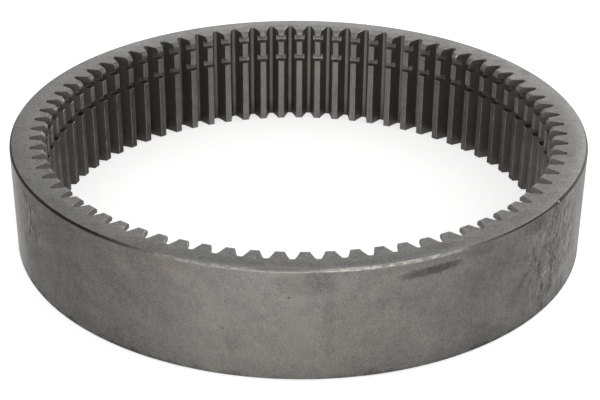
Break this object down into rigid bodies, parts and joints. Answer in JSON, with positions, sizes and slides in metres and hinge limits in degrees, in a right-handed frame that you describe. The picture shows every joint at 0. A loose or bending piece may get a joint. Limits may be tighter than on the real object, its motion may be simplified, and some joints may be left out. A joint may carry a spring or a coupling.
{
  "type": "ring gear",
  "caption": "Steel ring with internal spur teeth and two snap ring grooves across the tooth crests, fixed in a hub as the outer member of a planetary reduction.",
  "frame": {"origin": "centre of the lower face, on the gear's axis", "axes": "+Z along the gear's axis, from the lower face towards the end with the snap ring grooves"},
  "size_m": [0.33, 0.33, 0.064],
  "materials": {
    "steel": "turned and shaped steel with a dull grey, lightly mottled heat treated surface"
  },
  "bodies": {
    "root": {"ring_gear": "steel"}
  },
  "joints": []
}
